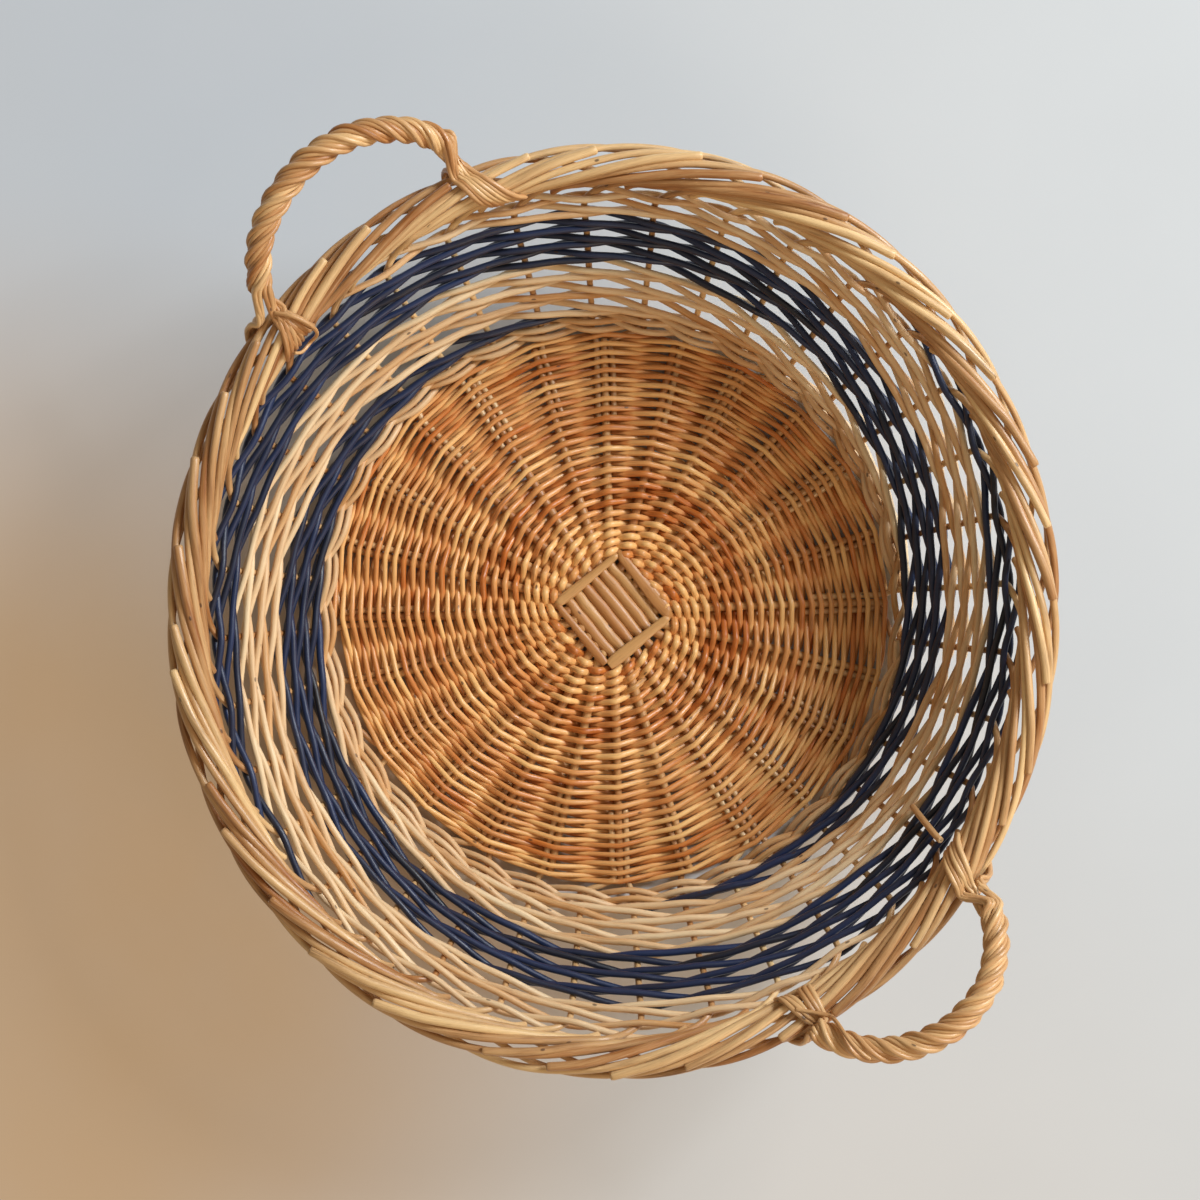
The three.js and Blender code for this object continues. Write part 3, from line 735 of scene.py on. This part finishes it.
stakes = smooth(np.stack([stake_rows(i) for i in range(STAKES)]), 5)
stake_tubes = tube(waver(stakes, 0.2, 2.5), 12)
cut_rods = smooth(np.stack([cut_rod_rows(i) for i in range(STAKES)]), 5)
cut_tubes = tube(waver(cut_rods, 0.24, 0.8), 12)
SECTOR = STAKES // 4
for sector in range(4):
    first = SECTOR * sector
    add_piece(
        f"stakes_and_border_{sector + 1}",
        [part_of(stake_tubes, first, SECTOR), part_of(cut_tubes, first, SECTOR)],
        [BORDER, CUT],
        [f"side_stakes_{sector + 1}"],
    )


# Wall weavers: inside two stakes, outside one, and one row higher at each stake. The last
# stations are a row's share past the last row, and a share of the offset.
WEAVER_TIP = ((0.4, 0.3), (0.8, -0.7), (1.2, -1.2))
COLOUR_BAND = 9


def weaver_rows(start):
    """A weaver's stations: at each stake it is in or out by the offset, and midway between two
    stakes it is halfway, or bowed in a little where it stays inside. Round one side of the tray
    the rows swell up by a bell curve of the angle times a half sine of the row."""
    row = np.arange(ROWS + 1)
    side = np.where(row % 3 == 0, -1.0, 1.0)
    side[-1] = 1.0
    climb = np.empty(2 * ROWS + 1)
    climb[::2] = row
    climb[1::2] = row[1:] - 0.5
    inside = np.empty(2 * ROWS + 1)
    inside[::2] = side * WEAVER_OFFSET
    inside[1::2] = (side[1:] + side[:-1]) / 2 * (WEAVER_OFFSET + 0.3)
    past, tip = np.array(WEAVER_TIP).T
    climb = np.concatenate([[-0.5], climb, ROWS + past])
    inside = np.concatenate([[-0.9 * WEAVER_OFFSET], inside, tip * WEAVER_OFFSET])
    angle = FIRST_STAKE + STAKE_STEP * (start + climb)
    away = ((angle - SWELL_ANGLE + 180) % 360 - 180) / SWELL_SPREAD
    bulge = np.sin(np.pi * np.clip(climb / ROWS, 0, 1))
    along = FIRST_ROW_UP + climb * ROW_PITCH + SWELL * np.exp(-away * away) * bulge
    size = np.linspace(3.3, 3.0, len(along)) * (1 + 0.05 * chance.uniform(-1, 1))
    point = wall_point(angle, along, inside)
    return stations(point, wall_normal(angle), 0.97 * size, 1.03 * size)


weavers = smooth(np.stack([weaver_rows(i) for i in range(STAKES)]), 4)
weaver_tubes = tube(waver(weavers, 0.14, 4.0))
for start in range(STAKES):
    dyed = (start // COLOUR_BAND) % 2 == 1
    colour = "navy" if dyed else "natural"
    add_piece(
        f"{colour}_rod_{start + 1}",
        [part_of(weaver_tubes, start)],
        [NAVY, CUT_NAVY] if dyed else [CREAM, CUT],
        [f"{colour}_weaver_{start + 1}"],
    )


# Wale: three rods go twice round the foot, each outside two stakes and inside one. At its three
# kinds of station a rod lies outside high, outside low, and inside over the leg.
WALE_RODS = 3
WALE_SECTION = (3.1, 2.8)
WALE_RADII = np.array([139.4, 135.8, 131.0])
WALE_HEIGHTS = np.array([7.4, 1.9, 10.4])
WALE_UP_WALL = np.array([7.2, 3.8, 6.6])
WALE_INSIDE = np.array([-3.0, -3.2, 3.4])


def wale_rows(first):
    """A wale rod's stations, one at each stake. The first round lies at the foot, and the second
    one on the wall above it."""
    step = np.arange(2 * STAKES)
    kind = (step + first) % 3
    angle = FIRST_STAKE + STAKE_STEP * step
    low = place(angle, WALE_RADII[kind], WALE_HEIGHTS[kind])
    high = wall_point(angle, WALE_UP_WALL[kind], WALE_INSIDE[kind])
    share = np.clip((step - STAKES + 3) / 6, 0, 1)[:, None]
    return stations(low + (high - low) * share, UP, *WALE_SECTION)


wale = smooth(np.stack([wale_rows(i) for i in range(WALE_RODS)]), 7)
wale_tubes = tube(waver(wale, 0.1, 9.0))
for number in range(WALE_RODS):
    add_piece(
        f"foot_wale_{number + 1}",
        [part_of(wale_tubes, number)],
        [CREAM, CUT],
        [f"wale_rod_{number + 1}"],
    )


# Handles: four strands laid into a rope, each of three thin wisps side by side. At each foot
# some strands pass over the border to its inside, and the others go down its outside. Their
# turns round the border's mound are 0 at the inner side, 90 on top and 180 at the outer side.
# In the rope a strand's outer wisps lie WISP_STEP degrees to either side of its middle one and
# WISP_SUNK deeper, and at a foot they lie FOOT_SPREAD degrees of the rim apart.
WISP_STEP = 25
WISP_SUNK = 1.15
CORE = ROPE - 2.6 * WISP
FOOT_CLEAR = 3.2
FOOT_SPREAD = 0.74
INNER_TURNS = (116, 94, 72, 50, 30)
OUTER_TURNS = (128, 150, 172, 192, 206)

# A foot's strands are the side they go to, the angles they start and end at, and the last turn.
HANDLES = {
    "upper_left": {
        "middle": 123.7,
        "feet": ((108.2, 196.0), (139.3, 192.5)),
        "reach": 39.3,
        "phase": 0.4,
        "low": [
            ("inner", 110.0, 105.8, 4),
            ("outer", 109.8, 110.8, 222),
            ("inner", 108.2, 102.7, 6),
            ("inner", 109.2, 104.2, 8),
        ],
        "high": [
            ("inner", 137.6, 141.6, -8),
            ("inner", 138.2, 137.2, 2),
            ("inner", 138.6, 139.6, -4),
            ("outer", 140.6, 143.4, 222),
        ],
    },
    "lower_right": {
        "middle": 309.5,
        "feet": ((294.4, 183.4), (323.5, 192.5)),
        "reach": 42,
        "phase": 1.2,
        "low": [
            ("inner", 296.2, 293.3, 6),
            ("outer", 295.2, 292.6, 222),
            ("inner", 297.2, 296.8, 30),
            ("outer", 296.8, 295.2, 222),
        ],
        "high": [
            ("inner", 322.4, 326.4, 2),
            ("outer", 321.8, 324.4, 222),
            ("inner", 320.8, 324.9, 4),
            ("outer", 323.4, 326.2, 222),
        ],
    },
}


def round_border(angle, turn, clear):
    """A point at a turn round the border's mound, `clear` outside its rods' middles."""
    turn = np.radians(turn)
    radius = MOUND_MIDDLE - np.cos(turn) * (MOUND_HALF + clear)
    height = RIM_HEIGHT + MOUND_LIFT + np.sin(turn) * (MOUND_RISE + clear)
    return place(angle, radius, height)


def bow(handle, share):
    """The middle of the rope: half an ellipse from one foot to the other, leaning outwards. It
    also gives a vector square to the ellipse."""
    feet = [place(angle, radius, ROPE_SEAT) for angle, radius in handle["feet"]]
    middle = (feet[0] + feet[1]) / 2
    chord = (feet[1] - feet[0]) / 2
    turn = np.radians(handle["middle"])
    reach = handle["reach"]
    lean = np.array([reach * np.cos(turn), reach * np.sin(turn), HANDLE_RISE])
    swing = np.pi * np.asarray(share)[..., None]
    return middle - chord * np.cos(swing) + lean * np.sin(swing), np.cross(chord, lean)


def rope_point(handle, share, phase, reach):
    """A point round the rope: `reach` from its middle, turned by the lay plus a phase."""
    here, square = bow(handle, share)
    along = bow(handle, share + 0.01)[0] - bow(handle, share - 0.01)[0]
    along /= np.linalg.norm(along, axis=-1, keepdims=True)
    square = square / np.linalg.norm(square)
    other = np.cross(along, square)
    turn = (2 * np.pi * HANDLE_TURNS * share + phase)[..., None]
    facing = square * np.cos(turn) + other * np.sin(turn)
    return here + reach * facing, facing


def foot_rows(strand, wisp):
    """A wisp's way from the rope to its end at a foot, over the border and down its inside or
    down its outside and under. The wisps spread side by side."""
    side, from_angle, to_angle, last = strand
    turns = np.array([*(INNER_TURNS if side == "inner" else OUTER_TURNS), last])
    share = np.linspace(0, 1, len(turns))
    turns = turns + wisp * np.linspace(0, 3, len(turns))
    spread = FOOT_SPREAD * wisp * np.minimum(1, 0.5 + share)
    angles = from_angle + (to_angle - from_angle) * share + spread
    clear = np.interp(share, [0, 0.75, 1], [FOOT_CLEAR + 1.6, FOOT_CLEAR, FOOT_CLEAR - 1.4])
    points = round_border(angles, turns, clear)
    facing = direction(angles, -np.cos(np.radians(turns)), np.sin(np.radians(turns)))
    size = np.interp(share, [0, 0.3, 1], [WISP, WISP * 1.2, WISP])
    return stations(points, facing, size, size * 0.94)


def handle_tubes(handle):
    """The wisps of a handle and the core of its rope. Each wisp has its foot at the low end, the
    lay from one rope end to the other, and its foot at the high end."""
    shares = np.linspace(*ROPE_ENDS, 32)
    strand_tones = chance.uniform(0.05, 0.95, (STRANDS, 1, 2))
    tones = np.clip(strand_tones + chance.uniform(-0.25, 0.25, (STRANDS, 3, 2)), 0, 1)
    rows = []
    for number in range(STRANDS):
        for wisp in (-1, 0, 1):
            phase = number * np.pi / 2 + handle["phase"] + np.radians(WISP_STEP) * wisp
            reach = (ROPE - WISP) / 2 - WISP_SUNK * abs(wisp)
            point, facing = rope_point(handle, shares, np.full(shares.shape, phase), reach)
            lay = stations(point, facing, WISP * 1.1, WISP)
            low = foot_rows(handle["low"][number], -wisp)[::-1]
            high = foot_rows(handle["high"][number], wisp)
            rows.append(np.concatenate([low, lay, high]))
    core, facing = rope_point(handle, shares, np.zeros(shares.shape), 0.0)
    core = tube(smooth(stations(core, facing, CORE, CORE)[None], 2))
    rows = waver(smooth(np.stack(rows), 4), 0.2, 3.0)
    tones = np.broadcast_to(tones.reshape(len(rows), 1, 2), rows.shape[:2] + (2,))
    return [tube(rows, 8, tones), core]


def thin_rod(points, sizes):
    """A loose thin rod through a few points."""
    sizes = np.array(sizes)
    return tube(smooth(stations(np.array(points), UP, sizes, sizes)[None], 8))


# Loose rods: a loop over one foot, a curl round the other rope, and a cut rod on the wall. The
# loop's points are round the border, and the cut rod's are on the wall.
LOOP = (
    (138.6, 112, 5.4),
    (137.4, 80, 6.4),
    (136.6, 44, 6.6),
    (136.9, 14, 6.2),
    (138.4, -6, 5.2),
    (140.2, 4, 5.2),
    (141.0, 24, 4.6),
)
LOOP_SIZES = [2.0, 1.9, 1.8, 1.7, 1.6, 1.5, 1.4]
CURL_START = (294.6, 70, 5.0)
CURL_TURNS = -1.9
CURL_REACH = 7.6
CURL_SIZES = [1.9] * 9 + [1.4]
LOOSE_ROD = ((326.9, 61, 6.4), (326.0, 72, 6.0), (325.2, 84, 6.2), (325.0, 89, 6.0))
LOOSE_SIZES = [3.0, 3.1, 3.1, 3.0]

shares = np.linspace(0.1, 0.27, 9)
phases = CURL_TURNS * 2 * np.pi * shares
curl, _ = rope_point(HANDLES["lower_right"], shares, phases, np.full((9, 1), CURL_REACH))
extras = {
    "upper_left": [thin_rod([round_border(*spot) for spot in LOOP], LOOP_SIZES)],
    "lower_right": [
        thin_rod([round_border(*CURL_START), *curl], CURL_SIZES),
        thin_rod([wall_point(*spot) for spot in LOOSE_ROD], LOOSE_SIZES),
    ],
}
for name, handle in HANDLES.items():
    add_piece(
        f"twisted_handle_{name}",
        [*handle_tubes(handle), *extras[name]],
        [GRIP, CUT],
        [f"handle_{name}"],
    )


# Stage, in metres: a wide floor, two soft lamps and a dim room.
FLOOR_REACH = 30.0
FLOOR_GLOW = 0.55
LAMP_AIM = (0, 0, 0.04)


def stage_floor():
    """A wide pale floor under the tray, with light and shade painted into its colour: a painted
    warm shadow at the near left, a painted cool shadow at the far left and painted warm light at
    the near middle. The camera sees some of its colour as light, except under the tray."""
    mesh = bpy.data.meshes.new("floor")
    corners = np.array([(-1, -1, 0), (1, -1, 0), (1, 1, 0), (-1, 1, 0)]) * FLOOR_REACH
    mesh.from_pydata(corners.tolist(), [], [(0, 1, 2, 3)])
    floor = bpy.data.objects.new("floor", mesh)
    bpy.context.scene.collection.objects.link(floor)
    n = Nodes("pale floor")
    spot = n.add("ShaderNodeTexCoord").outputs["Object"]

    def near(x, y, low, high, most=1.0, least=0.0):
        """`most` within `low` of a spot, and `least` past `high`."""
        apart = n.vector_math("DISTANCE", spot, (x, y, 0)).outputs["Value"]
        return n.span(apart, low, high, most, least)

    # Painted cool shadow at the far left, where the tray shades the warm lamp.
    painted_cool_shadow = near(-0.3, 0.3, 0.05, 0.5)
    colour = n.mix(painted_cool_shadow, linear(211, 215, 217), linear(200, 206, 212))
    # Painted warm light: a lighter, warmer patch at the near middle.
    colour = n.mix(near(0.05, -0.4, 0.05, 0.45), colour, linear(216, 213, 208))
    # Painted warm shadow at the near left, where the tray shades the cool lamp.
    warm = n.math("MULTIPLY", near(-0.3, -0.16, 0.12, 0.38), 0.95)
    colour = n.mix(warm, colour, linear(201, 168, 129))
    clouds = n.span(n.noise(spot, 7.0, 3.0), 0.3, 0.7, 0.0, 0.1)
    colour = n.mix(clouds, colour, linear(190, 192, 192))
    n.feed(n.shader.inputs["Base Color"], colour)
    n.shader.inputs["Roughness"].default_value = 0.8
    n.shader.inputs["Specular IOR Level"].default_value = 0.2
    seen = n.add("ShaderNodeLightPath").outputs
    directly = n.math("MAXIMUM", seen["Is Camera Ray"], seen["Is Glossy Ray"])
    directly = n.math("MAXIMUM", directly, seen["Is Transmission Ray"])
    glow = n.math("MULTIPLY", directly, near(0, 0, 0.185, 0.215, 0.0, FLOOR_GLOW))
    shown = n.add("ShaderNodeEmission", Color=colour, Strength=1.0)
    both = n.add("ShaderNodeMixShader")
    n.feed(both.inputs[0], glow)
    n.feed(both.inputs[1], n.shader.outputs[0])
    n.feed(both.inputs[2], shown.outputs[0])
    n.feed(n.tree.nodes["Material Output"].inputs["Surface"], both.outputs[0])
    mesh.materials.append(n.material)


def lamp(name, spot, size, power, colour):
    """A square lamp at a spot, turned towards the tray."""
    light = bpy.data.lights.new(name, "AREA")
    light.size = size
    light.energy = power
    light.color = colour
    holder = bpy.data.objects.new(name, light)
    bpy.context.scene.collection.objects.link(holder)
    holder.location = spot
    away = np.array(spot) - np.array(LAMP_AIM)
    tilt = float(np.arccos(away[2] / np.linalg.norm(away)))
    turn = float(np.arctan2(away[1], away[0]) + np.pi / 2)
    holder.rotation_euler = (tilt, 0.0, turn)


def room(colour, strength, far_colour):
    """The light of the room. Past the floor's edge the camera sees a far wall instead."""
    world = bpy.data.worlds.new("room")
    bpy.context.scene.world = world
    world.use_nodes = True
    nodes = world.node_tree.nodes
    light = nodes["Background"]
    light.inputs["Color"].default_value = colour
    light.inputs["Strength"].default_value = strength
    far_wall = nodes.new("ShaderNodeBackground")
    far_wall.inputs["Color"].default_value = far_colour
    seen = nodes.new("ShaderNodeLightPath")
    either = nodes.new("ShaderNodeMixShader")
    join = world.node_tree.links.new
    join(seen.outputs["Is Camera Ray"], either.inputs[0])
    join(light.outputs[0], either.inputs[1])
    join(far_wall.outputs[0], either.inputs[2])
    join(either.outputs[0], nodes["World Output"].inputs["Surface"])


stage_floor()
lamp("window", (1.2, 0.8, 1.08), 0.55, 31, (0.94, 1.0, 1.06))
lamp("warm window", (0.95, -1.15, 1.2), 0.8, 11, (1.0, 0.78, 0.56))
room((1.0, 0.84, 0.64, 1.0), 0.27, linear(176, 176, 175))

# The camera looks straight down.
camera_data = bpy.data.cameras.new("camera")
camera_data.sensor_width = 36
camera_data.lens = 68.55
camera = bpy.data.objects.new("camera", camera_data)
camera.location = (-0.0057, 0.0048, 1.080)
scene = bpy.context.scene
scene.collection.objects.link(camera)
scene.camera = camera
scene.view_settings.view_transform = "Standard"
